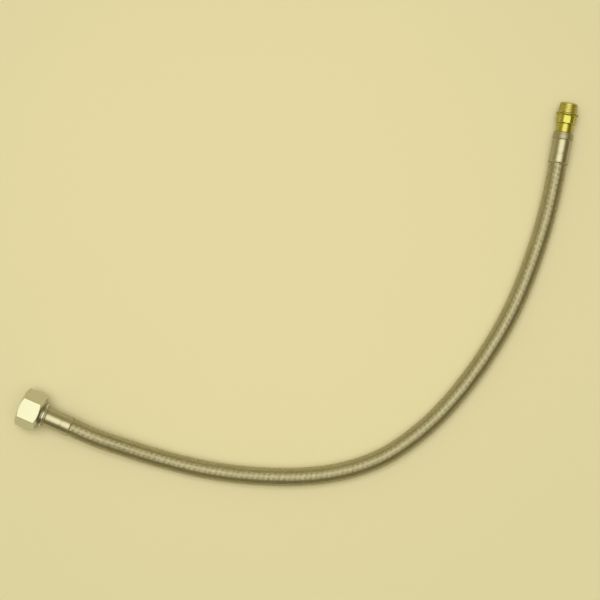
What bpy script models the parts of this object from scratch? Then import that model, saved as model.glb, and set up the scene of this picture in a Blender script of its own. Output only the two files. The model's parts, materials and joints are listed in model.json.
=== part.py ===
# Braided faucet supply hose, lying on a flat surface in one long curve.
# It has a swivel nut on one end and a turned brass fitting on the other.
# Metres, +Z up. The origin is at the bottom centre of the box round the two end fittings.
# Each end is built along its own axis: height 0 is the ferrule's mouth, and the height
# grows outwards, away from the hose.

import math

import bmesh
import bpy
import numpy as np
from mathutils import Matrix, Vector

MM = 0.001

# Fits
CLEARANCE = 0.3 * MM
SWIVEL_PLAY = 0.7 * MM
RECESS_CLEARANCE = 0.4 * MM
FLANGE_CLEARANCE = 0.5 * MM
CUTTER_OVERSHOOT = 1.0 * MM

# Hose: a rubber tube inside a braided sleeve
HOSE_DIAMETER = 12.7 * MM
SLEEVE_WALL = 0.6 * MM
TUBE_WALL = 1.1 * MM
HOSE_BEVEL_RESOLUTION = 4
HOSE_SIDES = 4 + 2 * HOSE_BEVEL_RESOLUTION
STATION_SPACING = 2 * HOSE_DIAMETER
NECKING_LENGTH = 3 * MM
NUT_END_DROP_LENGTH = 80 * MM
MALE_END_DROP_LENGTH = 45 * MM

# Ferrules, the same at both ends
FERRULE_DIAMETER = 13.65 * MM
FERRULE_LENGTH = 21.7 * MM
FERRULE_WALL = 0.45 * MM
BELL_LENGTH = 0.9 * MM
BELL_RISE = 0.2 * MM
CRIMP_COUNT = 1
CRIMP_MARGIN = 0.8 * MM
CRIMP_WIDTH = 2.0 * MM
CRIMP_DEPTH = 0.2 * MM
PLAIN_BARREL_LENGTH = 4.4 * MM
END_RING_LENGTH = 5.1 * MM
RING_GROOVE_WIDTH = 0.8 * MM
RING_GROOVE_DEPTH = 0.3 * MM
LIP_TURN_IN = 1.4 * MM

# Barbed stems
STEM_WALL = 0.6 * MM
STEM_TIP = 1.5 * MM
PLAIN_STEM_LENGTH = 4.0 * MM
BARB_COUNT = 4
BARB_LAND = 1.0 * MM
BARB_RISE = 0.4 * MM
SHOULDER_LENGTH = 1.0 * MM

# Swivel nut, its washer and the tail that holds them
NUT_SOCKET_DIAMETER = 19.0 * MM
NUT_WALL = 2.5 * MM
NUT_HEX_LENGTH = 14.4 * MM
NUT_SHOULDER_LENGTH = 2.2 * MM
NUT_HUB_WALL = 1.1 * MM
NUT_HUB_LENGTH = 3.5 * MM
NUT_HUB_CHAMFER = 0.3 * MM
NUT_BACK_WALL = 3.0 * MM
NUT_FACE_LAND = 0.25 * MM
SOCKET_CHAMFER = 0.6 * MM
CHAMFER_ANGLE = math.radians(30)
FERRULE_IN_NUT = 2.1 * MM
TAIL_NECK_DIAMETER = 11.8 * MM
TAIL_FLANGE_THICKNESS = 2.0 * MM
WASHER_BORE = 9.0 * MM
WASHER_THICKNESS = 2.2 * MM

# Brass male fitting
NECK_DIAMETER = 12.0 * MM
NECK_LENGTH = 5.3 * MM
NECK_GROOVE_DEPTH = 0.5 * MM
NECK_GROOVE_LENGTH = 0.7 * MM
BODY_DIAMETER = 13.8 * MM
BODY_LENGTH = 5.6 * MM
BODY_CHAMFER = 0.4 * MM
WRENCH_FLAT_DEPTH = 0.4 * MM
COLLAR_RISE = 1.0 * MM
COLLAR_THICKNESS = 2.1 * MM
COLLAR_CHAMFER = 0.85 * MM
RELIEF_DEPTH = 0.75 * MM
RELIEF_LENGTH = 0.8 * MM
TIP_ROOT_DIAMETER = 12.9 * MM
TIP_LENGTH = 6.2 * MM
TIP_TAPER = 1 / 16
TIP_CHAMFER = 0.9 * MM
MOUTH_CHAMFER = 0.5 * MM

# Facets and shading
TURNED_SEGMENTS = 32
SHARP_ANGLE = math.radians(30)

# Where the centre of the hose runs, seen from above, from the nut's ferrule to the other one
ROUTE_MM = (
    (-157.7, -110.3),
    (-141.3, -117.6),
    (-121.7, -124.6),
    (-101.9, -131.0),
    (-81.7, -136.6),
    (-61.4, -141.0),
    (-40.6, -144.0),
    (-19.8, -145.5),
    (1.1, -145.6),
    (21.9, -143.6),
    (42.3, -138.9),
    (61.7, -131.0),
    (79.1, -119.7),
    (95.1, -106.3),
    (109.5, -91.1),
    (122.5, -74.8),
    (134.4, -57.4),
    (145.1, -39.5),
    (154.4, -20.7),
    (162.2, -1.4),
    (169.2, 18.6),
    (175.0, 38.4),
    (179.6, 58.6),
    (182.5, 73.8),
)
NUT_END_ANGLE = math.radians(156.6)
MALE_END_ANGLE = math.radians(79.3)
ROUTE_FINENESS = 16

UP = Vector((0, 0, 1))

# Sizes that follow from the ones above
SLEEVE_RADIUS = HOSE_DIAMETER / 2
FERRULE_RADIUS = FERRULE_DIAMETER / 2
FERRULE_BORE_RADIUS = FERRULE_RADIUS - FERRULE_WALL
CRIMPED_RADIUS = FERRULE_BORE_RADIUS - CRIMP_DEPTH - CLEARANCE
SIDE_SHARE = math.cos(math.pi / HOSE_SIDES)
TUBE_INSET = (SLEEVE_WALL + CLEARANCE) / SIDE_SHARE
BARB_RADIUS = (CRIMPED_RADIUS - TUBE_INSET) * SIDE_SHARE - TUBE_WALL - CLEARANCE
STEM_RADIUS = BARB_RADIUS - BARB_RISE
BORE_RADIUS = STEM_RADIUS - STEM_WALL
LIP_RADIUS = FERRULE_BORE_RADIUS - LIP_TURN_IN
LIP_HEIGHT = FERRULE_LENGTH - FERRULE_WALL
SHOULDER_HEIGHT = LIP_HEIGHT - CLEARANCE - SHOULDER_LENGTH
HOSE_END_HEIGHT = SHOULDER_HEIGHT - CLEARANCE
SHOULDER_RADIUS = FERRULE_BORE_RADIUS - CLEARANCE
LIP_GROOVE_RADIUS = LIP_RADIUS - CLEARANCE
FITTING_HEIGHT = FERRULE_LENGTH + CLEARANCE
NUT_ACROSS_FLATS = NUT_SOCKET_DIAMETER + 2 * NUT_WALL
NUT_RECESS_RADIUS = FERRULE_RADIUS + RECESS_CLEARANCE
FLANGE_RADIUS = NUT_SOCKET_DIAMETER / 2 - FLANGE_CLEARANCE
HUB_HEIGHT = FERRULE_LENGTH - FERRULE_IN_NUT
HEX_HEIGHT = HUB_HEIGHT + NUT_HUB_LENGTH
NUT_FACE_HEIGHT = HEX_HEIGHT + NUT_HEX_LENGTH
RECESS_HEIGHT = FERRULE_LENGTH + SWIVEL_PLAY
SOCKET_FLOOR_HEIGHT = RECESS_HEIGHT + NUT_BACK_WALL
FLANGE_HEIGHT = SOCKET_FLOOR_HEIGHT + CLEARANCE
WASHER_HEIGHT = FLANGE_HEIGHT + TAIL_FLANGE_THICKNESS + CLEARANCE
BODY_RADIUS = BODY_DIAMETER / 2
COLLAR_RADIUS = BODY_RADIUS + COLLAR_RISE


def clear_scene():
    for obj in list(bpy.data.objects):
        bpy.data.objects.remove(obj, do_unlink=True)


def new_collection(name):
    collection = bpy.data.collections.new(name)
    bpy.context.scene.collection.children.link(collection)
    return collection


def new_object(name, data, collection, parent=None):
    obj = bpy.data.objects.new(name, data)
    collection.objects.link(obj)
    obj.parent = parent
    return obj


def metal(name, colour, roughness, metallic=1.0):
    material = bpy.data.materials.new(name)
    material.use_nodes = True
    shader = material.node_tree.nodes["Principled BSDF"]
    shader.inputs["Base Color"].default_value = (*colour, 1)
    shader.inputs["Roughness"].default_value = roughness
    shader.inputs["Metallic"].default_value = metallic
    return material


def rubber(name, colour):
    return metal(name, colour, roughness=0.7, metallic=0.0)


def end_frame(name, mouth, angle, collection):
    """An empty at a ferrule's mouth, whose Z points outwards along the fitting and whose Y points up."""
    outwards = Vector((math.cos(angle), math.sin(angle), 0))
    sideways = UP.cross(outwards)
    empty = new_object(name, None, collection)
    empty.matrix_world = Matrix.Translation(mouth) @ Matrix((sideways, UP, outwards)).transposed().to_4x4()
    return empty


def turned(name, profile, parent, collection):
    """A solid of revolution about the end's axis. The profile's (radius, height) points run down the
    outer side, from the outermost height, and back up the bore."""
    mesh = bpy.data.meshes.new(name)
    corners = [(radius, 0, height) for radius, height in profile]
    edges = [(i, (i + 1) % len(corners)) for i in range(len(corners))]
    mesh.from_pydata(corners, edges, [])
    obj = new_object(name, mesh, collection, parent)
    turn = obj.modifiers.new("Turn", "SCREW")
    turn.steps = TURNED_SEGMENTS
    turn.render_steps = TURNED_SEGMENTS
    return obj


def hexagonal_prism(name, across_flats, low, high, parent, collection, capped=True):
    """A prism along the end's axis with one flat facing up."""
    mesh = bpy.data.meshes.new(name)
    bm = bmesh.new()
    corner_radius = across_flats / math.sqrt(3)
    bmesh.ops.create_cone(
        bm,
        cap_ends=capped,
        segments=6,
        radius1=corner_radius,
        radius2=corner_radius,
        depth=high - low,
        matrix=Matrix.Translation((0, 0, (low + high) / 2)) @ Matrix.Rotation(math.radians(30), 4, "Z"),
    )
    bm.to_mesh(mesh)
    bm.free()
    obj = new_object(name, mesh, collection, parent)
    obj.hide_render = True
    obj.display_type = "WIRE"
    return obj


def cut(obj, operation, cutter):
    boolean = obj.modifiers.new(cutter.name, "BOOLEAN")
    boolean.operation = operation
    boolean.object = cutter


def ferrule_profile():
    """Outer side and bore of a crimped ferrule, the bore one wall inside the outer side."""
    ring_height = FERRULE_LENGTH - END_RING_LENGTH
    crimps_start = BELL_LENGTH + CRIMP_MARGIN
    crimp_pitch = (ring_height - PLAIN_BARREL_LENGTH - crimps_start) / CRIMP_COUNT
    side = [(FERRULE_RADIUS + BELL_RISE, 0), (FERRULE_RADIUS, BELL_LENGTH)]
    for i in range(CRIMP_COUNT):
        middle = crimps_start + (i + 0.5) * crimp_pitch
        for offset, depth in ((-1, 0), (-0.35, 1), (0.35, 1), (1, 0)):
            side.append((FERRULE_RADIUS - depth * CRIMP_DEPTH, middle + offset * CRIMP_WIDTH / 2))
    for offset, depth in ((-1, 0), (-0.5, 1), (0.5, 1), (1, 0)):
        radius = FERRULE_RADIUS - depth * RING_GROOVE_DEPTH
        side.append((radius, ring_height + offset * RING_GROOVE_WIDTH / 2))
    bore = [(radius - FERRULE_WALL, height) for radius, height in side]
    rounding = FERRULE_WALL / 2
    outer = [*side, (FERRULE_RADIUS, FERRULE_LENGTH - rounding), (FERRULE_RADIUS - rounding, FERRULE_LENGTH)]
    lip = [(FERRULE_BORE_RADIUS, LIP_HEIGHT), (LIP_RADIUS, LIP_HEIGHT), (LIP_RADIUS, FERRULE_LENGTH)]
    return [*reversed(outer), *bore, *lip]


def stem_profile():
    """Outer side of the barbed stem with its shoulder and lip groove, from the groove down to the tip."""
    side = [
        (LIP_GROOVE_RADIUS, FITTING_HEIGHT),
        (LIP_GROOVE_RADIUS, LIP_HEIGHT - CLEARANCE),
        (SHOULDER_RADIUS, LIP_HEIGHT - CLEARANCE),
        (SHOULDER_RADIUS, SHOULDER_HEIGHT),
        (STEM_RADIUS, SHOULDER_HEIGHT),
    ]
    pitch = (SHOULDER_HEIGHT - PLAIN_STEM_LENGTH - STEM_TIP) / BARB_COUNT
    for i in reversed(range(BARB_COUNT)):
        low = STEM_TIP + i * pitch
        high = low + pitch - BARB_LAND
        side += [(STEM_RADIUS, high), (BARB_RADIUS, high), (STEM_RADIUS, low)]
    return [*side, (BORE_RADIUS, STEM_TIP)]


def tail_profile():
    neck = TAIL_NECK_DIAMETER / 2
    flange_top = FLANGE_HEIGHT + TAIL_FLANGE_THICKNESS
    return [
        (FLANGE_RADIUS, flange_top),
        (FLANGE_RADIUS, FLANGE_HEIGHT),
        (neck, FLANGE_HEIGHT),
        (neck, FITTING_HEIGHT),
        *stem_profile(),
        (BORE_RADIUS, flange_top),
    ]


def washer_profile():
    top = WASHER_HEIGHT + WASHER_THICKNESS
    bore = WASHER_BORE / 2
    return [(FLANGE_RADIUS, top), (FLANGE_RADIUS, WASHER_HEIGHT), (bore, WASHER_HEIGHT), (bore, top)]


def nut_profile():
    """The nut's turned blank. The hexagon is cut from it afterwards, which leaves the corners chamfered."""
    face = NUT_ACROSS_FLATS / 2 - NUT_FACE_LAND
    blank = NUT_ACROSS_FLATS / math.sqrt(3) + CUTTER_OVERSHOOT
    chamfer = (blank - face) * math.tan(CHAMFER_ANGLE)
    hub = NUT_RECESS_RADIUS + NUT_HUB_WALL
    neck_hole = TAIL_NECK_DIAMETER / 2 + CLEARANCE
    socket = NUT_SOCKET_DIAMETER / 2
    return [
        (face, NUT_FACE_HEIGHT),
        (blank, NUT_FACE_HEIGHT - chamfer),
        (blank, HEX_HEIGHT + chamfer),
        (face, HEX_HEIGHT),
        (hub + NUT_SHOULDER_LENGTH, HEX_HEIGHT),
        (hub, HEX_HEIGHT - NUT_SHOULDER_LENGTH),
        (hub, HUB_HEIGHT + NUT_HUB_CHAMFER),
        (hub - NUT_HUB_CHAMFER, HUB_HEIGHT),
        (NUT_RECESS_RADIUS, HUB_HEIGHT),
        (NUT_RECESS_RADIUS, RECESS_HEIGHT),
        (neck_hole, RECESS_HEIGHT),
        (neck_hole, SOCKET_FLOOR_HEIGHT),
        (socket, SOCKET_FLOOR_HEIGHT),
        (socket, NUT_FACE_HEIGHT - SOCKET_CHAMFER),
        (socket + SOCKET_CHAMFER, NUT_FACE_HEIGHT),
    ]


def male_fitting_heights():
    """Heights where the neck groove, body, collar, thread relief and tip start, and of the mouth."""
    heights = [FITTING_HEIGHT + NECK_LENGTH]
    for length in (NECK_GROOVE_LENGTH, BODY_LENGTH, COLLAR_THICKNESS, RELIEF_LENGTH, TIP_LENGTH):
        heights.append(heights[-1] + length)
    return heights


def male_fitting_profile():
    neck = NECK_DIAMETER / 2
    groove = neck - NECK_GROOVE_DEPTH
    tip_root = TIP_ROOT_DIAMETER / 2
    relief = tip_root - RELIEF_DEPTH
    tip_end = tip_root - TIP_LENGTH * TIP_TAPER / 2
    groove_height, body_height, collar_height, relief_height, tip_height, mouth = male_fitting_heights()
    return [
        (tip_end - TIP_CHAMFER, mouth),
        (tip_end, mouth - TIP_CHAMFER),
        (tip_root, tip_height + RELIEF_DEPTH / 2),
        (relief, tip_height),
        (relief, relief_height),
        (COLLAR_RADIUS - COLLAR_CHAMFER, relief_height),
        (COLLAR_RADIUS, relief_height - COLLAR_CHAMFER),
        (COLLAR_RADIUS, collar_height + COLLAR_CHAMFER),
        (COLLAR_RADIUS - COLLAR_CHAMFER, collar_height),
        (BODY_RADIUS, collar_height),
        (BODY_RADIUS, body_height + BODY_CHAMFER),
        (BODY_RADIUS - BODY_CHAMFER, body_height),
        (groove, body_height),
        (groove, groove_height),
        (neck, groove_height),
        (neck, FITTING_HEIGHT),
        *stem_profile(),
        (BORE_RADIUS, mouth - MOUTH_CHAMFER),
        (BORE_RADIUS + MOUTH_CHAMFER, mouth),
    ]


def smooth_curve(points, before, after):
    """Dense points of the Catmull-Rom curve through the route's points."""
    controls = np.array([before, *points, after])
    steps = np.arange(ROUTE_FINENESS)[:, None] / ROUTE_FINENESS
    pieces = []
    for a, b, c, d in zip(controls, controls[1:], controls[2:], controls[3:]):
        bend = 2 * a - 5 * b + 4 * c - d
        twist = 3 * b - a - 3 * c + d
        pieces.append(b + 0.5 * ((c - a) * steps + bend * steps**2 + twist * steps**3))
    return np.vstack([*pieces, points[-1]])


def fade(share):
    """1 at a fitting, falling smoothly to 0 where the hose lies on the surface."""
    return 0.5 + 0.5 * np.cos(math.pi * np.minimum(share, 1))


def hose_path():
    """Stations along the hose's centre and how far each is necked down, from 0 to 1."""
    route = np.array(ROUTE_MM) * MM
    nut_outwards = np.array((math.cos(NUT_END_ANGLE), math.sin(NUT_END_ANGLE)))
    male_outwards = np.array((math.cos(MALE_END_ANGLE), math.sin(MALE_END_ANGLE)))
    first_step = np.linalg.norm(route[1] - route[0])
    last_step = np.linalg.norm(route[-1] - route[-2])
    plan = smooth_curve(route, route[0] + nut_outwards * first_step, route[-1] + male_outwards * last_step)
    along = np.concatenate([[0], np.cumsum(np.linalg.norm(np.diff(plan, axis=0), axis=1))])
    length = along[-1]
    count = round(length / STATION_SPACING)
    stations = np.concatenate([[0], np.linspace(NECKING_LENGTH, length - NECKING_LENGTH, count), [length]])
    x = np.interp(stations, along, plan[:, 0])
    y = np.interp(stations, along, plan[:, 1])
    lying = HOSE_DIAMETER / 2
    z = lying + (NUT_ACROSS_FLATS / 2 - lying) * fade(stations / NUT_END_DROP_LENGTH)
    z = z + (COLLAR_RADIUS - lying) * fade((length - stations) / MALE_END_DROP_LENGTH)
    path = np.column_stack([x, y, z])
    first = path[0] + np.append(nut_outwards, 0) * HOSE_END_HEIGHT
    last = path[-1] + np.append(male_outwards, 0) * HOSE_END_HEIGHT
    necked = np.zeros(len(path))
    necked[[0, -1]] = 1
    return np.vstack([first, path, last]), np.concatenate([[1], necked, [1]])


def hose_layer(name, path, necked, radius, crimped_radius, wall, collection):
    """An open-ended tube along the hose, as a bevelled curve that is given its wall afterwards."""
    curve = bpy.data.curves.new(name, "CURVE")
    curve.dimensions = "3D"
    curve.twist_mode = "Z_UP"
    curve.bevel_depth = radius
    curve.bevel_resolution = HOSE_BEVEL_RESOLUTION
    spline = curve.splines.new("POLY")
    spline.points.add(len(path) - 1)
    for point, place, share in zip(spline.points, path, necked):
        point.co = (*place, 1)
        point.radius = 1 + share * (crimped_radius / radius - 1)
    guide = new_object(name + "_curve", curve, collection)
    bpy.context.view_layer.update()
    mesh = bpy.data.meshes.new_from_object(guide.evaluated_get(bpy.context.evaluated_depsgraph_get()))
    bpy.data.objects.remove(guide, do_unlink=True)
    obj = new_object(name, mesh, collection)
    shell = obj.modifiers.new("Wall", "SOLIDIFY")
    shell.thickness = wall
    shell.offset = -1
    shell.use_even_offset = True
    return obj


def shade(obj, material):
    """Applies the modifiers, shades the round faces smooth and keeps the edges sharp."""
    bpy.context.view_layer.update()
    mesh = bpy.data.meshes.new_from_object(obj.evaluated_get(bpy.context.evaluated_depsgraph_get()))
    obj.modifiers.clear()
    obj.data = mesh
    obj.data.name = obj.name
    mesh.shade_smooth()
    mesh.set_sharp_from_angle(angle=SHARP_ANGLE)
    mesh.materials.clear()
    mesh.materials.append(material)


def build_hose(parts):
    path, necked = hose_path()
    sleeve = hose_layer(
        "braided_sleeve", path, necked, SLEEVE_RADIUS, CRIMPED_RADIUS, SLEEVE_WALL, parts
    )
    shade(sleeve, metal("braided stainless wire", (0.61, 0.58, 0.44), 0.3))
    tube = hose_layer(
        "inner_tube",
        path,
        necked,
        SLEEVE_RADIUS - TUBE_INSET,
        CRIMPED_RADIUS - TUBE_INSET,
        TUBE_WALL,
        parts,
    )
    shade(tube, rubber("black tube rubber", (0.03, 0.03, 0.03)))


def build_ferrule(name, end, parts):
    ferrule = turned(name, ferrule_profile(), end, parts)
    shade(ferrule, metal(name + " steel", (0.58, 0.56, 0.45), 0.25))


def build_nut_end(end, parts, cutters):
    build_ferrule("nut_end_ferrule", end, parts)
    tail = turned("nut_end_tail", tail_profile(), end, parts)
    shade(tail, metal("tail brass", (0.66, 0.60, 0.18), 0.25))
    washer = turned("sealing_washer", washer_profile(), end, parts)
    shade(washer, rubber("washer rubber", (0.04, 0.04, 0.04)))
    nut = turned("swivel_nut", nut_profile(), end, parts)
    hexagon = hexagonal_prism(
        "nut_hexagon",
        NUT_ACROSS_FLATS,
        HUB_HEIGHT - CUTTER_OVERSHOOT,
        NUT_FACE_HEIGHT + CUTTER_OVERSHOOT,
        end,
        cutters,
    )
    cut(nut, "INTERSECT", hexagon)
    shade(nut, metal("nickel plate", (0.60, 0.61, 0.52), 0.2))


def build_male_end(end, parts, cutters):
    build_ferrule("male_end_ferrule", end, parts)
    fitting = turned("male_fitting", male_fitting_profile(), end, parts)
    groove_height, body_height, collar_height = male_fitting_heights()[:3]
    wrench_flats = hexagonal_prism(
        "wrench_flats",
        BODY_DIAMETER - 2 * WRENCH_FLAT_DEPTH,
        (groove_height + body_height) / 2,
        collar_height - BODY_CHAMFER,
        end,
        cutters,
        capped=False,
    )
    around = wrench_flats.modifiers.new("Around", "SOLIDIFY")
    around.thickness = WRENCH_FLAT_DEPTH + COLLAR_RISE + CUTTER_OVERSHOOT
    around.offset = 1
    around.use_even_offset = True
    cut(fitting, "DIFFERENCE", wrench_flats)
    shade(fitting, metal("fitting brass", (0.66, 0.60, 0.18), 0.25))


def main():
    clear_scene()
    parts = new_collection("Faucet supply hose")
    cutters = new_collection("Cutters")
    nut_mouth = (*(Vector(ROUTE_MM[0]) * MM), NUT_ACROSS_FLATS / 2)
    male_mouth = (*(Vector(ROUTE_MM[-1]) * MM), COLLAR_RADIUS)
    nut_end = end_frame("nut_end", nut_mouth, NUT_END_ANGLE, parts)
    male_end = end_frame("male_end", male_mouth, MALE_END_ANGLE, parts)
    build_hose(parts)
    build_nut_end(nut_end, parts, cutters)
    build_male_end(male_end, parts, cutters)


main()
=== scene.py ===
import json
import math

import bpy
import numpy as np
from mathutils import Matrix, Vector

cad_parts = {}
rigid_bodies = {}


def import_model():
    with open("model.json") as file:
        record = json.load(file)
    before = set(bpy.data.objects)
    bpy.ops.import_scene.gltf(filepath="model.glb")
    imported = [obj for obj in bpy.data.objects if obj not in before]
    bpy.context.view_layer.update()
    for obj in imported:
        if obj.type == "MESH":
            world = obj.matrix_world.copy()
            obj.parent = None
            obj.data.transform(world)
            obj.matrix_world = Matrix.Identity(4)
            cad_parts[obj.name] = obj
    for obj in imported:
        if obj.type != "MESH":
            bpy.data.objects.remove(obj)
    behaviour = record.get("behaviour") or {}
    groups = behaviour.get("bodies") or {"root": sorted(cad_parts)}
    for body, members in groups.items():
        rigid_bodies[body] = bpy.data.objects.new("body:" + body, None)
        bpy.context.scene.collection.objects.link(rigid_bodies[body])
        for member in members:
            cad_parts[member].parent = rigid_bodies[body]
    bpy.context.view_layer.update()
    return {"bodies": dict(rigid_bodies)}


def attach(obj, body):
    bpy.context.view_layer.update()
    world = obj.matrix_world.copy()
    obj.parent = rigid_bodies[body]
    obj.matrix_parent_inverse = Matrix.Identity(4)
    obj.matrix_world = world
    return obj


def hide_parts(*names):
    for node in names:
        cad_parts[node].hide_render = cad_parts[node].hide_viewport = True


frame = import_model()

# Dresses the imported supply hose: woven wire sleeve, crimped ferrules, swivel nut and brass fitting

mm = 0.001
print("frame loaded:", ", ".join(frame["bodies"]))

# The route is the centre of the hose seen from above, from the nut's ferrule to the other one
hose = {
    "diameter": 0.0127,
    "route": [
        (-0.1577, -0.1103), (-0.1413, -0.1176), (-0.1217, -0.1246), (-0.1019, -0.1310),
        (-0.0817, -0.1366), (-0.0614, -0.1410), (-0.0406, -0.1440), (-0.0198, -0.1455),
        (0.0011, -0.1456), (0.0219, -0.1436), (0.0423, -0.1389), (0.0617, -0.1310),
        (0.0791, -0.1197), (0.0951, -0.1063), (0.1095, -0.0911), (0.1225, -0.0748),
        (0.1344, -0.0574), (0.1451, -0.0395), (0.1544, -0.0207), (0.1622, -0.0014),
        (0.1692, 0.0186), (0.1750, 0.0384), (0.1796, 0.0586), (0.1825, 0.0738),
    ],
    "inFerrule": 0.01965,  # how far it goes into each ferrule
    "nutDrop": 0.08,  # lengths over which it comes down to the table
    "maleDrop": 0.045,
    "fineness": 16,  # points on each stretch of the route
    "tuckedPoints": 11,  # points inside each ferrule
}

# Each end has its own axis: height 0 is the ferrule's mouth and grows outwards
nutEnd = {"mouth": (-0.1577, -0.1103, 0.012), "angle": math.radians(156.6)}
maleEnd = {"mouth": (0.1825, 0.0738, 0.0079), "angle": math.radians(79.3)}


def outwards(end):
    return np.array((math.cos(end["angle"]), math.sin(end["angle"]), 0.0))


def smoothRoute(points, before, after, fineness):
    controls = np.array([before, *points, after])
    steps = np.arange(fineness)[:, None] / fineness
    stretches = []
    for a, b, c, d in zip(controls, controls[1:], controls[2:], controls[3:]):
        bend = 2 * a - 5 * b + 4 * c - d
        twist = 3 * b - a - 3 * c + d
        stretches.append(b + 0.5 * ((c - a) * steps + bend * steps**2 + twist * steps**3))
    return np.vstack([*stretches, points[-1]])


def fade(share):
    return 0.5 + 0.5 * np.cos(math.pi * np.minimum(share, 1))


def lengthsAlong(points):
    steps = np.linalg.norm(np.diff(points, axis=0), axis=1)
    return np.concatenate([[0], np.cumsum(steps)])


def hoseLine():
    route = np.array(hose["route"])
    nutOut, maleOut = outwards(nutEnd), outwards(maleEnd)
    before = route[0] + nutOut[:2] * np.linalg.norm(route[1] - route[0])
    after = route[-1] + maleOut[:2] * np.linalg.norm(route[-1] - route[-2])
    plan = smoothRoute(route, before, after, hose["fineness"])
    along = lengthsAlong(plan)
    lying = hose["diameter"] / 2
    height = lying + (nutEnd["mouth"][2] - lying) * fade(along / hose["nutDrop"])
    height = height + (maleEnd["mouth"][2] - lying) * fade((along[-1] - along) / hose["maleDrop"])
    line = np.column_stack([plan, height])
    tucked = np.linspace(1, 0, hose["tuckedPoints"], endpoint=False)[:, None] * hose["inFerrule"]
    return np.vstack([line[0] + nutOut * tucked, line, line[-1] + maleOut * tucked[::-1]])


line = hoseLine()
lineAlong = lengthsAlong(line)
hoseLength = float(lineAlong[-1])


def depthInFerrule(along):
    # negative outside the ferrules
    return hose["inFerrule"] - np.minimum(along, hoseLength - along)


def frameAlong(along):
    # centre, sideways and upwards directions at distances along the hose
    def at(distance):
        return np.stack([np.interp(distance, lineAlong, line[:, axis]) for axis in range(3)], axis=-1)

    step = 1.5 * mm
    tangent = at(np.minimum(along + step, hoseLength)) - at(np.maximum(along - step, 0))
    tangent /= np.linalg.norm(tangent, axis=-1, keepdims=True)
    sideways = np.cross(tangent, (0.0, 0.0, 1.0))
    sideways /= np.linalg.norm(sideways, axis=-1, keepdims=True)
    return at(along), sideways, np.cross(sideways, tangent)


def placeOnHose(along, angle, radius):
    centre, sideways, upwards = frameAlong(along)
    outward = np.cos(angle)[..., None] * sideways + np.sin(angle)[..., None] * upwards
    return centre + radius[..., None] * outward


# Mesh building


def gridFaces(rows, columns, closedRows, closedColumns):
    row = np.arange(rows if closedRows else rows - 1)[:, None]
    column = np.arange(columns if closedColumns else columns - 1)[None, :]
    nextRow, nextColumn = (row + 1) % rows, (column + 1) % columns
    corners = (
        row * columns + column,
        row * columns + nextColumn,
        nextRow * columns + nextColumn,
        nextRow * columns + column,
    )
    return np.stack(corners, axis=-1).reshape(-1, 4)


def newPiece(name, points, faces, sharpAngle, marks=None):
    # marks are numbers on the points, which the finishes read
    mesh = bpy.data.meshes.new(name)
    mesh.from_pydata(points.reshape(-1, 3).tolist(), [], [tuple(face) for face in faces])
    for mark, values in (marks or {}).items():
        layer = mesh.attributes.new(mark, "FLOAT", "POINT")
        layer.data.foreach_set("value", np.asarray(values, dtype=np.float32).ravel())
    mesh.update()
    mesh.shade_smooth()
    mesh.set_sharp_from_angle(angle=math.radians(sharpAngle))
    piece = bpy.data.objects.new(name, mesh)
    bpy.context.scene.collection.objects.link(piece)
    return piece


def dress(piece, finish, body, node):
    piece.data.materials.append(finish.owner)
    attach(piece, body)
    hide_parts(node)


def evenAngles(count):
    return np.linspace(0, 2 * math.pi, count, endpoint=False)


# Finishes


class Link:
    # a node's output, so that sums on it read as plain Python
    def __init__(self, finish, output):
        self.finish = finish
        self.output = output

    def sum(self, operation, first, second):
        return self.finish.node("ShaderNodeMath", {"operation": operation}, {0: first, 1: second})

    def __add__(self, other):
        return self.sum("ADD", self, other)

    def __radd__(self, other):
        return self.sum("ADD", other, self)

    def __sub__(self, other):
        return self.sum("SUBTRACT", self, other)

    def __rsub__(self, other):
        return self.sum("SUBTRACT", other, self)

    def __mul__(self, other):
        return self.sum("MULTIPLY", self, other)

    def __rmul__(self, other):
        return self.sum("MULTIPLY", other, self)


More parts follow.
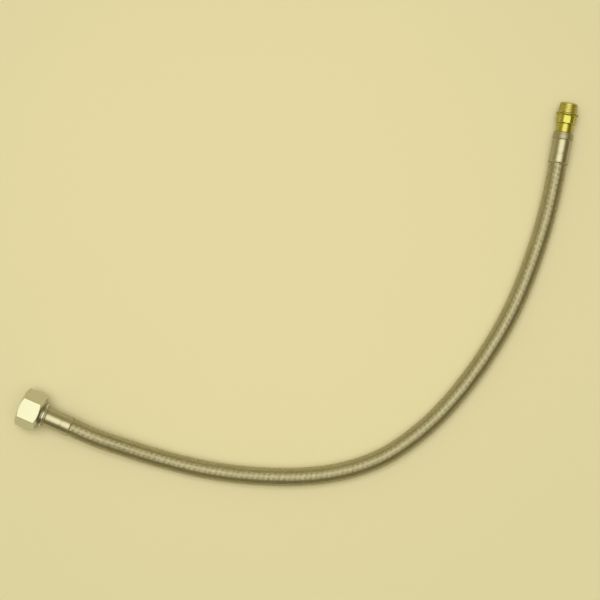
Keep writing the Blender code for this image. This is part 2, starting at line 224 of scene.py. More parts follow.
class Finish:
    # the nodes of a material or of the world
    def __init__(self, owner):
        self.owner = owner
        self.owner.use_nodes = True
        self.tree = self.owner.node_tree

    def join(self, socket, value):
        if isinstance(value, Link):
            self.tree.links.new(value.output, socket)
        elif socket.type == "RGBA":
            socket.default_value = (*value, 1)
        else:
            socket.default_value = value

    def node(self, kind, settings, sockets, out=0):
        made = self.tree.nodes.new(kind)
        for key, value in settings.items():
            setattr(made, key, value)
        for key, value in sockets.items():
            self.join(made.inputs[key], value)
        return Link(self, made.outputs[out])

    def place(self):
        return self.node("ShaderNodeTexCoord", {}, {}, "Object")

    def mark(self, name):
        return self.node("ShaderNodeAttribute", {"attribute_name": name}, {}, "Fac")

    def vector(self, operation, first, second, out=0):
        return self.node("ShaderNodeVectorMath", {"operation": operation}, {0: first, 1: second}, out)

    def alongAxis(self, end):
        # height above the ferrule's mouth, in millimetres
        axis = outwards(end)
        height = self.vector("DOT_PRODUCT", self.place(), tuple(axis), "Value")
        return (height - float(np.dot(axis, end["mouth"]))) * (1 / mm)

    def noise(self, vector, scale, detail, roughness=0.5):
        sockets = {"Vector": vector, "Scale": scale, "Detail": detail, "Roughness": roughness}
        return self.node("ShaderNodeTexNoise", {}, sockets)

    def lines(self, value, scale):
        # noise in one direction only, such as the marks that a lathe tool leaves
        sockets = {"W": value, "Scale": scale, "Detail": 4}
        return self.node("ShaderNodeTexNoise", {"noise_dimensions": "1D"}, sockets)

    def between(self, value, low, high, newLow=0.0, newHigh=1.0):
        sockets = {"Value": value, "From Min": low, "From Max": high, "To Min": newLow, "To Max": newHigh}
        return self.node("ShaderNodeMapRange", {"interpolation_type": "SMOOTHSTEP"}, sockets)

    def band(self, value, low, high, soft):
        # 1 from low to high
        rise = self.between(value, low - soft, low + soft)
        return rise * self.between(value, high - soft, high + soft, 1.0, 0.0)

    def lowSideShade(self):
        # 0 on top of a piece and 1 low on its sides, where shade is painted: the mark is the sine of the
        # angle round its axis
        low, high = 0.3, 0.85
        return self.between(self.mark("top"), low, high, 1.0, 0.0)

    def mix(self, share, first, second):
        return self.node("ShaderNodeMix", {"data_type": "RGBA"}, {0: share, 6: first, 7: second}, 2)

    def tint(self, colour, where, tint):
        # a tint is a colour and the most that is mixed in of it
        other, most = tint
        return self.mix(where * most, colour, other)

    def bump(self, height, distance, strength):
        return self.node("ShaderNodeBump", {}, {"Height": height, "Distance": distance, "Strength": strength})

    def shade(self, sockets):
        shader = self.tree.nodes["Principled BSDF"]
        for name, value in sockets.items():
            self.join(shader.inputs[name], value)


def newFinish(name):
    return Finish(bpy.data.materials.new(name))


# Braid: flat bands of wires wound both ways round the hose, two over and two under.
# A point is given by the band it is on and the crossing band: their sum is the angle round
# the hose and their difference the distance along it.
braid = {
    "bands": 12,  # in each direction
    "wires": 7,  # in a band
    "angle": math.radians(42),  # between a band and the hose's axis
    "cover": 0.94,  # share of the surface that a band fills
    "outerRadius": 6.35 * mm,
    "wireThickness": 0.27 * mm,
    "wireTop": 0.45,  # height of a band's top above its middle, in wire thicknesses
    "weaveHeight": 0.15 * mm,  # how far a band goes up and down
    "ends": 1.4 * mm,  # bare tube at each end
    "leastGap": 0.1 * mm,  # what every wire keeps from the tube's end
    # where a band's rows stand in a period of four crossings, and whether it lies over or under there
    "rows": ((-0.3, 1), (0.5, 1), (1.3, 1), (1.7, -1), (2.5, -1), (3.3, -1)),
    # over a wire's width: place, height in wire thicknesses, and 1 in the valley beside it
    "wireShape": ((0.15, 0.36, 0), (0.5, 0.42, 0), (0.85, 0.36, 0), (1.0, 0.05, 1)),
    "bandEdge": -0.15,  # heights of a band's edge and of its underside
    "bandUnder": -0.5,
    "underWidth": 0.98,
    # places along the hose, as depths in a ferrule, and how much thinner the braid is there
    "neck": ((-6.0, 0.0), (-2.0, 0.02), (0.0, 0.09), (2.5, 0.23)),
    "sway": 0.02,  # how far a band strays, as a share of its width
    "sink": 0.012 * mm,  # how far a wire sinks
    "pieces": 2,  # in each direction
    "seed": 4,
    "dull": (0.54, 0.51, 0.375),
    "bright": (0.69, 0.66, 0.50),
    # painted shade and grime in the valleys between wires
    "valleyShadeAndGrime": ((0.16, 0.14, 0.09), 0.6),
    # painted shade low on the hose's sides
    "lowShadeTint": ((0.22, 0.20, 0.12), 0.12),
    "roughness": 0.32,
    "sharpAngle": 38,
}


def neck(along):
    # how much thinner the braid is in the ferrules
    depths, thinner = np.array(braid["neck"]).T * mm
    return 1 - np.interp(depthInFerrule(along), depths, thinner) / braid["outerRadius"]


def bandOutline():
    # places across a band from -0.5 to 0.5, heights in wire thicknesses, valleys, and which wire
    wires, edge, under = braid["wires"], braid["bandEdge"], braid["bandUnder"]
    places = [(-0.5, edge, 1, 0)]
    for wire in range(wires):
        places += [((wire + at) / wires - 0.5, rise, valley, wire) for at, rise, valley in braid["wireShape"]]
    places[-1] = (0.5, edge, 1, wires - 1)
    half = braid["underWidth"] / 2
    places += [(half, under, 1, wires - 1), (-half, under, 1, 0)]
    return np.array(places).T


def bandPoints(band, hand, random):
    turnLength = 2 * math.pi * braid["outerRadius"] / math.tan(braid["angle"])
    perLength = 2 * braid["bands"] / turnLength  # crossings in a metre
    across, rise, valley, wire = bandOutline()
    wire = wire.astype(int)
    # rows along the band, as distances in crossings from the hose's start
    first = perLength * braid["ends"]
    last = perLength * (hoseLength - braid["ends"])
    periods = int(last / 4) + braid["bands"]
    rows = []
    for period in range(-periods, periods):
        rows += [(hand * (4 * period + offset - 2 * band), side) for offset, side in braid["rows"]]
    rows = sorted((at, side) for at, side in rows if first < at < last)
    rows = np.array([(first, rows[0][1]), *rows, (last, rows[-1][1])])
    at, over = rows[:, :1], rows[:, 1:] * hand
    offset = across * braid["cover"] + random.uniform(-braid["sway"], braid["sway"])
    sunk = random.uniform(-braid["sink"], 0.0, braid["wires"])[wire]
    tone = random.uniform(0, 1, braid["wires"])[wire]
    along = (at - hand * offset) / perLength
    along = np.clip(along, braid["leastGap"], hoseLength - braid["leastGap"])
    angle = math.pi / braid["bands"] * (2 * band + hand * at + offset)
    thickness = braid["wireThickness"]
    middle = braid["outerRadius"] - braid["weaveHeight"] - braid["wireTop"] * thickness
    radius = middle + braid["weaveHeight"] * over + thickness * rise + sunk
    marks = {"valley": valley, "tone": tone, "top": np.sin(angle)}
    marks = {name: np.broadcast_to(values, along.shape) for name, values in marks.items()}
    return placeOnHose(along, angle, radius * neck(along)), marks


def bandFaces(rows, columns, hand, first):
    # its long sides and its two ends; first is the number of its first point
    sides = gridFaces(rows, columns, False, True)[:, ::hand] + first
    start = np.arange(columns) + first
    end = start + (rows - 1) * columns
    return [*sides.tolist(), start[::-hand].tolist(), end[::hand].tolist()]


def buildBraid(finish):
    random = np.random.default_rng(braid["seed"])
    made = []
    for hand, handName in ((1, "right"), (-1, "left")):
        for part in range(braid["pieces"]):
            points, faces, marks, count = [], [], [], 0
            for band in range(part, braid["bands"], braid["pieces"]):
                grid, bandMarks = bandPoints(band, hand, random)
                rows, columns = grid.shape[:2]
                points.append(grid.reshape(-1, 3))
                marks.append(bandMarks)
                faces += bandFaces(rows, columns, hand, count)
                count += rows * columns
            joined = {name: np.vstack([each[name] for each in marks]) for name in marks[0]}
            name = f"braid_{handName}_{part + 1}"
            piece = newPiece(name, np.vstack(points), faces, braid["sharpAngle"], joined)
            dress(piece, finish, "hose", "braided_sleeve")
            made.append(piece)
    return made


def braidFinish():
    finish = newFinish("stainlessWire")
    place = finish.place()
    cloudy = finish.noise(place, scale=60, detail=3)
    fine = finish.noise(place, scale=3000, detail=2)
    colour = finish.mix(finish.mark("tone") * 0.6 + cloudy * 0.5, braid["dull"], braid["bright"])
    # painted shade and grime in the valleys between wires
    colour = finish.tint(colour, finish.mark("valley"), braid["valleyShadeAndGrime"])
    colour = finish.tint(colour, finish.lowSideShade(), braid["lowShadeTint"])
    finish.shade({
        "Base Color": colour,
        "Metallic": 1.0,
        "Roughness": braid["roughness"] + fine * 0.10 + cloudy * 0.08,
        "Normal": finish.bump(fine, distance=0.02 * mm, strength=0.4),
    })
    return finish


# Inner tube
tube = {
    "radius": 5.42 * mm,
    "crimped": 4.94 * mm,  # its radius in the ferrules
    "neckLength": 3 * mm,
    "wall": 1.1 * mm,
    "spacing": 4 * mm,
    "sides": 48,
    "colour": (0.03, 0.03, 0.03),
    "sharpAngle": 50,
}
rubber = {"dust": (0.09, 0.085, 0.075), "dustFrom": 0.45, "dustFull": 0.75, "roughness": 0.55}


def buildTube(finish):
    along = np.linspace(0, hoseLength, round(hoseLength / tube["spacing"]) + 1)
    outer = np.interp(depthInFerrule(along), (-tube["neckLength"], 0), (tube["radius"], tube["crimped"]))
    alongGrid, angleGrid = np.meshgrid(along, evenAngles(tube["sides"]), indexing="ij")
    radius = np.broadcast_to(outer[:, None], alongGrid.shape)
    outside = placeOnHose(alongGrid, angleGrid, radius)
    inside = placeOnHose(alongGrid, angleGrid, radius - tube["wall"])
    grid = np.vstack([outside, inside[::-1]])
    faces = gridFaces(len(grid), tube["sides"], True, True)
    piece = newPiece("rubber_tube", grid, faces, tube["sharpAngle"])
    dress(piece, finish, "hose", "inner_tube")
    return piece, frameAlong(along)[0]


def rubberFinish(name, colour):
    finish = newFinish(name)
    place = finish.place()
    grain = finish.noise(place, scale=2500, detail=3)
    dust = finish.noise(place, scale=180, detail=4, roughness=0.6)
    dusty = finish.between(dust, rubber["dustFrom"], rubber["dustFull"])
    finish.shade({
        "Base Color": finish.mix(dusty, colour, rubber["dust"]),
        "Roughness": rubber["roughness"] + grain * 0.2 + dust * 0.15,
        "Normal": finish.bump(grain, distance=0.04 * mm, strength=0.6),
    })
    return finish


# Turned pieces: a closed outline of corners (radius, height, bevel) in millimetres, turned round an
# end's axis. A radius or height may be an array, with one number for each direction round the axis.

# The places that round a corner: how far back and how far ahead on the outline, in bevels, and how
# much edge each is
bevelPlaces = ((2.2, 0, 0.0), (1, 0, 0.6), (0.29, 0.29, 1.0), (0, 1, 0.6), (0, 2.2, 0.0))


def softened(corners, columns):
    # rings of radius and height, with the corners rounded, and how much edge each ring is
    outline = np.empty((len(corners), columns, 2))
    for ring, (radius, height, _) in zip(outline, corners):
        ring[:, 0], ring[:, 1] = radius, height
    rings, edges = [], []
    for i, (_, _, bevel) in enumerate(corners):
        here = outline[i]
        if bevel == 0:
            rings.append(here)
            edges.append(0.0)
            continue
        before, after = outline[i - 1] - here, outline[(i + 1) % len(outline)] - here
        lengths = [np.linalg.norm(way, axis=-1, keepdims=True) for way in (before, after)]
        reach = np.minimum(bevel, np.minimum(*lengths) / 5)  # keeps off the next corners
        before, after = before / lengths[0], after / lengths[1]
        for back, ahead, edge in bevelPlaces:
            rings.append(here + (before * back + after * ahead) * reach)
            edges.append(edge)
    return np.array(rings), np.array(edges)


def turnedPiece(name, end, rings, angles, edges, sharpAngle=22):
    axis = outwards(end)
    upwards = np.array((0.0, 0.0, 1.0))
    sideways = np.cross(upwards, axis)
    radius, height = rings[..., 0] * mm, rings[..., 1] * mm
    across = np.cos(angles)[:, None] * sideways + np.sin(angles)[:, None] * upwards
    points = np.array(end["mouth"]) + radius[..., None] * across + height[..., None] * axis
    shape = rings.shape[:2]
    edges = edges if edges.ndim == 2 else edges[:, None]
    marks = {"edge": np.broadcast_to(edges, shape), "top": np.broadcast_to(np.sin(angles), shape)}
    return newPiece(name, points, gridFaces(*shape, True, True), sharpAngle, marks)


# Ferrules: thin steel sleeves crimped on the hose, with a plainer ring at the fitting's end
ferrule = {
    "radius": 6.825,
    "wall": 0.45,
    "length": 21.7,
    "bellLength": 0.9,  # the flare at its mouth
    "bellRise": 0.2,
    "mouthRounding": 0.12,
    "endRounding": 0.22,
    "crimpAt": 6.95,
    "crimpWidth": 2.0,
    "crimpDepth": 0.12,
    "jawMarks": 4,
    "jawRise": 0.05,
    "jawSharpness": 24,
    "grooves": {"nut": 18.3, "male": 16.6},
    "grooveWidth": 1.0,
    "grooveDepth": 0.22,
    "ringRise": 0.2,  # how much the end ring stands out
    "ringSlopes": (0.4, 0.6),  # lengths over which it rises and falls
    "ringEnd": 20.6,
    "lipRadius": 4.975,
    "columns": 96,
    "rows": (0.35, 0.9, *np.arange(1.5, 20.8, 0.24), 21.0),  # heights with a ring of points
    "dull": (0.54, 0.52, 0.42),
    "bright": (0.62, 0.60, 0.49),
    "ringTint": ((0.40, 0.36, 0.20), 0.35),
    "ringFade": (-0.3, 0.1),  # where its duller finish begins and is full, from the groove
    "crimpTint": ((0.35, 0.32, 0.25), 0.06),
    "crimpFlat": 0.75,  # half the tinted width
    # painted shade low on the ferrule's sides
    "lowShadeTint": ((0.20, 0.18, 0.10), 0.5),
    "edgeTint": ((0.75, 0.73, 0.62), 0.4),
    "roughness": 0.21,
}


def pressedIn(height, middle, width, flatShare):
    # 1 in the bottom of a pressed ring, rising smoothly to 0 at its sides
    share = np.clip((1 - np.abs(height - middle) / (width / 2)) / (1 - flatShare), 0, 1)
    return share * share * (3 - 2 * share)


def buildFerrule(which, end, finish):
    angles = evenAngles(ferrule["columns"])
    heights = np.array(ferrule["rows"])
    grooveAt = ferrule["grooves"][which]
    startSlope, endSlope = ferrule["ringSlopes"]
    crimp = pressedIn(heights, ferrule["crimpAt"], ferrule["crimpWidth"], flatShare=0.35)
    groove = pressedIn(heights, grooveAt, ferrule["grooveWidth"], flatShare=0.5)
    ring = np.clip((heights - grooveAt) / startSlope, 0, 1)
    ring = ring * np.clip((ferrule["ringEnd"] - heights) / endSlope, 0, 1)
    bell = (1 - np.clip(heights / ferrule["bellLength"], 0, 1)) ** 2
    radius = ferrule["radius"] + ferrule["bellRise"] * bell + ferrule["ringRise"] * ring
    radius = radius - ferrule["crimpDepth"] * crimp - ferrule["grooveDepth"] * groove
    jaws = np.maximum(np.cos(ferrule["jawMarks"] * angles), 0) ** ferrule["jawSharpness"]
    side = radius[:, None] + crimp[:, None] * jaws * ferrule["jawRise"]
    wall, length, lip = ferrule["wall"], ferrule["length"], ferrule["lipRadius"]
    mouth = ferrule["radius"] + ferrule["bellRise"]
    mouthRounding, endRounding = ferrule["mouthRounding"], ferrule["endRounding"]
    corners = [
        (mouth - wall, 0, 0.05),
        (mouth - mouthRounding, 0, 0),
        (mouth, mouthRounding, 0),
        *[(row, height, 0) for row, height in zip(side, heights)],
        (ferrule["radius"], length - endRounding, 0.08),
        (ferrule["radius"] - endRounding, length, 0.08),
        (lip, length, 0.08),
        (lip, length - wall, 0.05),
        (ferrule["radius"] - wall, length - wall, 0),
        *[(row - wall, height, 0) for row, height in zip(side[::-1], heights[::-1])],
    ]
    rings, edges = softened(corners, len(angles))
    piece = turnedPiece(f"{which}_end_ferrule_dressed", end, rings, angles, edges)
    dress(piece, finish, "hose", f"{which}_end_ferrule")


def ferruleFinish(which, end):
    finish = newFinish(f"{which}FerruleSteel")
    height = finish.alongAxis(end)
    rings = finish.lines(height, scale=6.0)
    cloudy = finish.noise(finish.place(), scale=140, detail=3)
    grooveAt = ferrule["grooves"][which]
    fadeStart, fadeEnd = ferrule["ringFade"]
    sockets = {0: height, 1: ferrule["crimpAt"], 2: ferrule["crimpFlat"]}
    crimp = finish.node("ShaderNodeMath", {"operation": "COMPARE"}, sockets)
    endRing = finish.between(height, grooveAt + fadeStart, grooveAt + fadeEnd)
    colour = finish.mix(cloudy, ferrule["dull"], ferrule["bright"])
    colour = finish.tint(colour, endRing, ferrule["ringTint"])
    colour = finish.tint(colour, crimp, ferrule["crimpTint"])
    colour = finish.tint(colour, finish.lowSideShade(), ferrule["lowShadeTint"])
    colour = finish.tint(colour, finish.mark("edge"), ferrule["edgeTint"])
    finish.shade({
        "Base Color": colour,
        "Metallic": 1.0,
        "Roughness": ferrule["roughness"] + rings * 0.10 + cloudy * 0.08 + endRing * 0.14,
        "Normal": finish.bump(rings, distance=0.03 * mm, strength=0.5),
    })
    return finish


# Swivel nut
nut = {
    "acrossFlats": 24.0,
    "cornerRounding": 0.4,
    "facesPerFlat": 12,
    "rear": 19.6,
    "hexStart": 23.1,
    "face": 37.5,
    "hubRadius": 8.325,
    "hubChamfer": 0.3,
    "shoulder": 0.7,  # size of the fillet behind the hexagon, and its places: out, back and bevel
    "shoulderCurve": ((1.0, 0.0, 0.1), (0.86, 0.45, 0), (0.5, 0.9, 0), (0.0, 1.22, 0.1)),
    "recessRadius": 7.225,
    "recessFloor": 22.4,
    "neckHole": 6.2,
    "socketFloor": 25.4,
    "faceLand": 0.25,  # how far the ends of the hexagon stay inside its flats
    "chamfer": math.radians(30),
    "threadRadius": 9.4,  # the crests of its thread
    "threadDepth": 0.85,
    "threadPitch": 1.814,
    "threadCrest": 0.12,
    "threadRunOut": 0.9,
    "threadRows": 0.15,  # from one ring of points to the next
    "reliefLength": 3.0,
    "mouthChamfer": 0.75,
    "dull": (0.57, 0.575, 0.49),
    "bright": (0.63, 0.64, 0.55),
    "edgeTint": ((0.74, 0.72, 0.60), 0.5),
    "cornerWear": 0.8,  # how much edge the hexagon's corners are
    "hubShadeHeights": (20.75, 22.75),  # painted shade on the hub behind the hexagon, which is also rougher there
    "hubShadeTint": ((0.10, 0.085, 0.04), 0.62),
    "hubShadeRoughness": 0.186,
    "roughness": 0.12,
}


def hexagon(acrossFlats, rounding, perFlat):
    # directions and distances of a hexagon's outline with rounded corners and flats on top and bottom,
    # and how near each place is to a corner
    half = acrossFlats / 2
    thirty = math.radians(30)
    flatEnd = math.atan((half - rounding) * math.tan(thirty) / half)
    inner = 0.93  # share of a flat between its first and last places but one
    flat = flatEnd * np.array([-1, *np.linspace(-inner, inner, perFlat - 2), 1])
    swing = np.radians((-15, 0, 15))  # over a corner's rounding
    x = (half - rounding) / math.cos(thirty) + rounding * np.cos(swing)
    y = rounding * np.sin(swing)
    angles = np.concatenate([flat, thirty + np.arctan2(y, x)])
    radii = np.concatenate([half / np.cos(flat), np.hypot(x, y)])
    nearCorner = [0.5, *[0.0] * (perFlat - 2), 0.5, 1.0, 1.0, 1.0]
    sides = np.arange(6)[:, None] * 2 * thirty - thirty
    return (sides + angles).ravel(), np.tile(radii, 6), np.tile(nearCorner, 6)


def threadWave(height, angles, pitch, crest):
    # 0 on the crest and 1 in the root of a right-hand thread; crest is the share of the pitch that is flat
    rootStart = 0.88
    share = np.mod(height / pitch - angles / (2 * math.pi), 1)
    slope = np.clip((np.abs(2 * share - 1) - crest) / (rootStart - crest), 0, 1)
    return slope * slope * (3 - 2 * slope)


def buildNut(finish):
    angles, hexRadii, nearCorner = hexagon(nut["acrossFlats"], nut["cornerRounding"], nut["facesPerFlat"])
    front, rear, hexStart = nut["face"], nut["rear"], nut["hexStart"]
    land = nut["acrossFlats"] / 2 - nut["faceLand"]
    cut = (hexRadii - land) * math.tan(nut["chamfer"])
    hub, size, chamfer = nut["hubRadius"], nut["shoulder"], nut["hubChamfer"]
    curve = nut["shoulderCurve"]
    shoulder = [(hub + size * out, hexStart - size * back, bevel) for out, back, bevel in curve]
    crest, depth = nut["threadRadius"], nut["threadDepth"]
    mouth = crest + nut["mouthChamfer"]
    threadStart = nut["socketFloor"] + nut["reliefLength"]
    corners = [
        (mouth, front, 0.08),
        (land, front, 0.08),
        (hexRadii, front - cut, 0.12),
        (hexRadii, hexStart + cut, 0.12),
        (land, hexStart, 0.08),
        *shoulder,
        (hub, rear + chamfer, 0.08),
        (hub - chamfer, rear, 0.08),
        (nut["recessRadius"], rear, 0.08),
        (nut["recessRadius"], nut["recessFloor"], 0.1),
        (nut["neckHole"], nut["recessFloor"], 0.1),
        (nut["neckHole"], nut["socketFloor"], 0.1),
        (crest + depth, nut["socketFloor"], 0.2),
        (crest + depth, threadStart, 0),
    ]
    firstRow = threadStart + nut["threadRows"]
    for height in np.arange(firstRow, front - nut["mouthChamfer"], nut["threadRows"]):
        wave = threadWave(height, angles, nut["threadPitch"], nut["threadCrest"])
        runOut = np.clip((height - firstRow) / nut["threadRunOut"], 0, 1)
        radius = crest + depth * (1 - (1 - wave) * runOut)
        corners.append((np.maximum(radius, mouth - (front - height)), height, 0))
    rings, edges = softened(corners, len(angles))
    onHexagon = np.abs(rings[..., 0] - hexRadii) < 0.01
    edges = np.maximum(edges[:, None], onHexagon * nearCorner * nut["cornerWear"])
    piece = turnedPiece("nut_nickelled", nutEnd, rings, angles, edges)
    dress(piece, finish, "nut", "swivel_nut")


def nutFinish():
    finish = newFinish("nickelPlate")
    place = finish.place()
    cloudy = finish.noise(place, scale=90, detail=3)
    grain = finish.noise(finish.vector("MULTIPLY", place, (1, 1, 3)), scale=900, detail=3)
    height = finish.alongAxis(nutEnd)
    turned = finish.lines(height, scale=3.5)
    # painted shade on the hub behind the hexagon
    hubShade = finish.band(height, *nut["hubShadeHeights"], soft=0.35)
    colour = finish.mix(cloudy, nut["dull"], nut["bright"])
    colour = finish.tint(colour, finish.mark("edge"), nut["edgeTint"])
    colour = finish.tint(colour, hubShade, nut["hubShadeTint"])
    finish.shade({
        "Base Color": colour,
        "Metallic": 1.0,
        "Roughness": nut["roughness"] + grain * 0.08 + cloudy * 0.05 + hubShade * nut["hubShadeRoughness"],
        "Normal": finish.bump(grain * 0.6 + turned * 0.4, distance=0.03 * mm, strength=0.4),
    })
    return finish


# Tail that holds the nut on, with its barbed stem inside the hose, and the washer in front of it
tail = {
    "bore": 2.375,
    "boreChamfer": 0.3,
    "stem": 2.975,
    "barb": 3.375,
    "barbTops": (4.11, 7.73, 11.34, 14.95),
    "barbLength": 2.6,
    "stemTip": 1.5,
    "tipChamfer": 0.2,
    "shoulder": (19.95, 20.95),
    "shoulderRadius": 6.075,
    "lipGroove": 4.675,
    "neckStart": 22.0,
    "neck": 5.9,
    "flange": (25.7, 27.7),
    "flangeRadius": 9.0,
    "columns": 72,
}
washer = {"bore": 4.5, "radius": 9.0, "heights": (28.0, 30.2), "columns": 72, "colour": (0.035, 0.035, 0.035)}


def stemCorners(bevel):
    # from the groove for the ferrule's lip down to the stem's tip
    low, high = tail["shoulder"]
    stem, tip = tail["stem"], tail["stemTip"]
    corners = [
        (tail["lipGroove"], tail["neckStart"]),
        (tail["lipGroove"], high),
        (tail["shoulderRadius"], high),
        (tail["shoulderRadius"], low),
        (stem, low),
    ]
    for top in reversed(tail["barbTops"]):
        corners += [(stem, top), (tail["barb"], top), (stem, top - tail["barbLength"])]
    corners += [(stem - tail["tipChamfer"], tip), (tail["bore"], tip)]
    return [(*corner, bevel) for corner in corners]


def buildTail(finish):
    low, high = tail["flange"]
    bevel = 0.08
    corners = [
        (tail["bore"] + tail["boreChamfer"], high, bevel),
        (tail["flangeRadius"], high, bevel),
        (tail["flangeRadius"], low, bevel),
        (tail["neck"], low, bevel),
        (tail["neck"], tail["neckStart"], bevel),
        *stemCorners(bevel),
        (tail["bore"], high - tail["boreChamfer"], bevel),
    ]
    rings, edges = softened(corners, tail["columns"])
    piece = turnedPiece("tail_turned", nutEnd, rings, evenAngles(tail["columns"]), edges)
    dress(piece, finish, "hose", "nut_end_tail")


def buildWasher(finish):
    low, high = washer["heights"]
    inner, outer = washer["bore"], washer["radius"]
    bevel = 0.35
    corners = [(inner, high, bevel), (outer, high, bevel), (outer, low, bevel), (inner, low, bevel)]
    rings, edges = softened(corners, washer["columns"])
    angles = evenAngles(washer["columns"])
    piece = turnedPiece("washer_rubber_ring", nutEnd, rings, angles, edges, sharpAngle=40)
    dress(piece, finish, "hose", "sealing_washer")


# Brass male fitting
male = {
    "neck": 6.0,
    "neckEnd": 27.3,
    "groove": 5.5,
    "body": 6.9,
    "bodyHeights": (28.0, 33.6),
    "bodyChamfer": 0.4,
    "acrossFlats": 13.2,
    "flatsEnd": 33.2,
    "flatsStep": 0.05,
    "collar": 7.9,
    "collarChamfer": 0.65,
    "collarEnd": 35.7,
    "relief": 6.3,
    "reliefEnd": 36.48,
    "tipStart": 36.5,
    "tipRoot": 6.45,
    "mouth": 42.7,
    "taper": 1 / 32,  # off the radius, for each millimetre of length
    "tipChamfer": 0.9,
    "mouthChamfer": 0.5,
    "threadPitch": 1.337,
    "threadDepth": 0.4,
    "threadCrest": 0.55,
    "threadRows": 0.1,
    "runOutSlope": 1.6,
    "columns": 96,
    # rings that look different: from, to, their tint and how much rougher they are. The first two tints are
    # painted shade on the collar and in the groove between neck and body; the last makes the threaded tip
    # paler and rougher
    "rings": (
        (33.5, 35.8, ((0.27, 0.21, 0.012), 0.55), 0),
        (27.2, 28.1, ((0.27, 0.21, 0.012), 0.5), 0),
        (36.2, 43.5, ((0.86, 0.80, 0.36), 0.45), 0.1125),
    ),
}
brass = {
    "dull": (0.58, 0.545, 0.11),
    "bright": (0.66, 0.625, 0.18),
    "spots": (0.58, 0.72),  # strengths of the noise where they begin and are full
    "spotTint": ((0.36, 0.29, 0.05), 0.3),
    # painted shade low on the brass pieces' sides
    "lowShadeTint": ((0.22, 0.17, 0.03), 0.5),
    "edgeTint": ((0.80, 0.74, 0.34), 0.4),
    "roughness": 0.18,
}


def taperedRadius(height):
    return male["tipRoot"] - (height - male["tipStart"]) * male["taper"]


def buildMale(finish):
    angles = evenAngles(male["columns"])
    fold = np.mod(angles - math.pi / 2 + math.pi / 6, math.pi / 3) - math.pi / 6
    flats = male["acrossFlats"] / 2 / np.cos(fold)
    bodyLow, bodyHigh = male["bodyHeights"]
    body, chamfer = male["body"], male["bodyChamfer"]
    collar, collarChamfer, collarEnd = male["collar"], male["collarChamfer"], male["collarEnd"]
    relief, mouth, mouthChamfer = male["relief"], male["mouth"], male["mouthChamfer"]
    tipStart, tipChamfer = male["tipStart"], male["tipChamfer"]
    corners = [
        (relief, male["reliefEnd"], 0),
        (relief, collarEnd, 0.1),
        (collar - collarChamfer, collarEnd, 0.08),
        (collar, collarEnd - collarChamfer, 0.08),
        (collar, bodyHigh + collarChamfer, 0.08),
        (collar - collarChamfer, bodyHigh, 0.08),
        (body, bodyHigh, 0.1),
        (body, male["flatsEnd"], 0),
        (np.minimum(body, flats), male["flatsEnd"] - male["flatsStep"], 0),
        (np.minimum(body, flats), bodyLow + chamfer, 0.08),
        (np.minimum(body - chamfer, flats), bodyLow, 0.06),
        (male["groove"], bodyLow, 0.06),
        (male["groove"], male["neckEnd"], 0.06),
        (male["neck"], male["neckEnd"], 0.08),
        (male["neck"], tail["neckStart"], 0.06),
        *stemCorners(0.06),
        (tail["bore"], mouth - mouthChamfer, 0.06),
        (tail["bore"] + mouthChamfer, mouth, 0.06),
        (taperedRadius(mouth) - tipChamfer, mouth, 0.06),
    ]
    rows = male["threadRows"]
    for height in np.arange(mouth - rows, tipStart, -rows):
        wave = threadWave(height, angles, male["threadPitch"], male["threadCrest"])
        outer = taperedRadius(height)
        entry = outer - tipChamfer + (mouth - height)
        runOut = relief + (height - tipStart) * male["runOutSlope"]
        radius = np.minimum(outer - male["threadDepth"] * wave, min(entry, runOut))
        corners.append((radius, height, 0))
    rings, edges = softened(corners, len(angles))
    piece = turnedPiece("male_turned", maleEnd, rings, angles, edges, sharpAngle=18)
    dress(piece, finish, "hose", "male_fitting")


def brassFinish(name, end, rings=()):
    finish = newFinish(name)
    place = finish.place()
    height = finish.alongAxis(end)
    cloudy = finish.noise(place, scale=160, detail=3)
    spots = finish.noise(place, scale=700, detail=4, roughness=0.6)
    turned = finish.lines(height, scale=5.0)
    roughness = brass["roughness"] + turned * 0.10 + spots * 0.10
    colour = finish.mix(cloudy, brass["dull"], brass["bright"])
    colour = finish.tint(colour, finish.between(spots, *brass["spots"]), brass["spotTint"])
    # the male fitting's rings paint shade on its collar and groove
    for low, high, tint, rougher in rings:
        ring = finish.band(height, low, high, soft=0.15)
        colour = finish.tint(colour, ring, tint)
        roughness = roughness + ring * rougher
    colour = finish.tint(colour, finish.lowSideShade(), brass["lowShadeTint"])
    colour = finish.tint(colour, finish.mark("edge"), brass["edgeTint"])
    finish.shade({
        "Base Color": colour,
        "Metallic": 1.0,
        "Roughness": roughness,
        "Normal": finish.bump(turned, distance=0.03 * mm, strength=0.5),
    })
    return finish


# The picture is taken from straight above
photoView = {
    "centre": (0.0021, -0.0218),  # the point under the lens
    "distance": 1.35,  # from the lens to the hose's centre
    "lens": 115.7,
    "sensor": 36,
}


def addCamera():
    data = bpy.data.cameras.new("photoCamera")
    data.lens = photoView["lens"]
    data.sensor_width = photoView["sensor"]
    camera = bpy.data.objects.new("photoCamera", data)
    camera.location = (*photoView["centre"], photoView["distance"] + hose["diameter"] / 2)
    bpy.context.scene.collection.objects.link(camera)
    bpy.context.scene.camera = camera
    bpy.context.scene.view_settings.view_transform = "Standard"


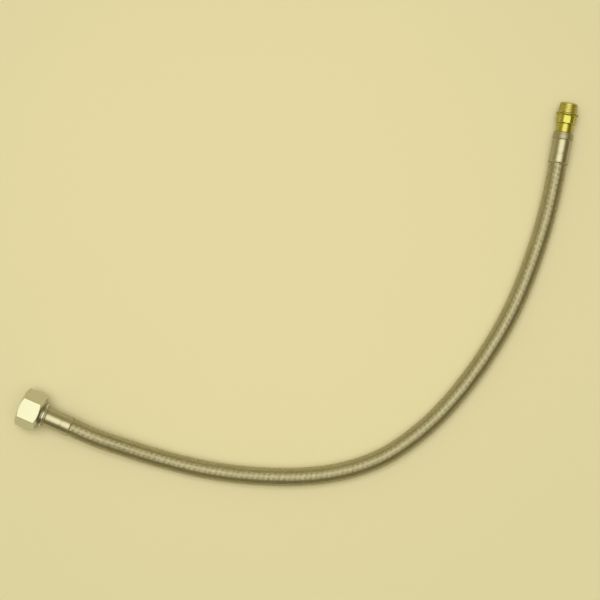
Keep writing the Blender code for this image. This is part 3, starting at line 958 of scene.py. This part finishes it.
# Table, lamp and surroundings. The lamp lights the table and the shadows; metal mirrors the soft ceiling.
# the table's colour fades from bright to dim out from one point: a painted pool of light
table = {
    "halfWidth": 6.0,
    "drop": 0.0003,
    "bright": (0.785, 0.745, 0.583),
    "dim": (0.72, 0.71, 0.55),
    "paintedLightAt": (-0.03, 0.04, 0.0),
    "brightUntil": 0.08,
    "dimFrom": 0.36,
    "mottle": ((0.86, 0.86, 0.72), 0.2),
    "roughness": 0.75,
}
lamp = {"colour": (1.0, 0.93, 0.68), "strength": 1.14, "spread": math.radians(40), "from": (-0.10, 0.16, 1.0)}
ceiling = {
    "middle": (-0.05, 0.06, 1.0),
    "bright": (1.60, 1.53, 1.12),
    "dimLeftAt": (-0.54, 0.84, 0.0),
    "dimLeft": (0.44, 0.375, 0.175),
    "dimRight": (0.17, 0.135, 0.058),
    "brightUntil": math.radians(16),
    "dimFrom": math.radians(41),
}


def buildTable():
    half, top = table["halfWidth"], -table["drop"]
    corners = np.array([(-half, -half, top), (half, -half, top), (half, half, top), (-half, half, top)])
    piece = newPiece("table", corners, [(0, 1, 2, 3)], sharpAngle=30)
    finish = newFinish("creamTable")
    place = finish.place()
    wide = finish.noise(place, scale=6, detail=3)
    fine = finish.noise(place, scale=220, detail=3)
    # painted pool of light, brightest round one point
    away = finish.vector("DISTANCE", place, table["paintedLightAt"], "Value")
    paintedLightFalloff = finish.between(away, table["brightUntil"], table["dimFrom"])
    colour = finish.mix(paintedLightFalloff, table["bright"], table["dim"])
    finish.shade({
        "Base Color": finish.tint(colour, wide * 0.7 + fine * 0.3 - 0.5, table["mottle"]),
        "Roughness": table["roughness"],
        "Normal": finish.bump(fine, distance=0.1 * mm, strength=0.2),
    })
    piece.data.materials.append(finish.owner)


def buildSurroundings():
    sky = Finish(bpy.data.worlds.new("softCeiling"))
    bpy.context.scene.world = sky.owner
    direction = sky.node("ShaderNodeTexCoord", {}, {}, "Generated")

    def towards(way):
        way = np.array(way) / np.linalg.norm(way)
        return sky.vector("DOT_PRODUCT", direction, tuple(way), "Value")

    brightUntil, dimFrom = math.cos(ceiling["brightUntil"]), math.cos(ceiling["dimFrom"])
    dim = sky.mix(sky.between(towards(ceiling["dimLeftAt"]), -1, 1), ceiling["dimRight"], ceiling["dimLeft"])
    overhead = sky.between(towards(ceiling["middle"]), dimFrom, brightUntil)
    sky.join(sky.tree.nodes["Background"].inputs["Color"], sky.mix(overhead, dim, ceiling["bright"]))


def addLamp():
    data = bpy.data.lights.new("windowLamp", "SUN")
    data.color = lamp["colour"]
    data.energy = lamp["strength"]
    data.angle = lamp["spread"]
    holder = bpy.data.objects.new("windowLamp", data)
    holder.rotation_euler = Vector(lamp["from"]).to_track_quat("Z", "Y").to_euler()
    holder.visible_glossy = False
    bpy.context.scene.collection.objects.link(holder)


addCamera()
print("camera placed")

tubePiece, tubePath = buildTube(rubberFinish("blackTubeRubber", tube["colour"]))
braidPieces = buildBraid(braidFinish())
print("hose woven,", round(hoseLength, 4), "m long")

for which, end in (("nut", nutEnd), ("male", maleEnd)):
    buildFerrule(which, end, ferruleFinish(which, end))
print("ferrules crimped")

buildNut(nutFinish())
buildTail(brassFinish("tailBrass", nutEnd))
buildWasher(rubberFinish("washerRubber", washer["colour"]))
buildMale(brassFinish("maleBrass", maleEnd, male["rings"]))
print("nut, tail, washer and male fitting turned")

buildTable()
buildSurroundings()
addLamp()
print("table and light set")
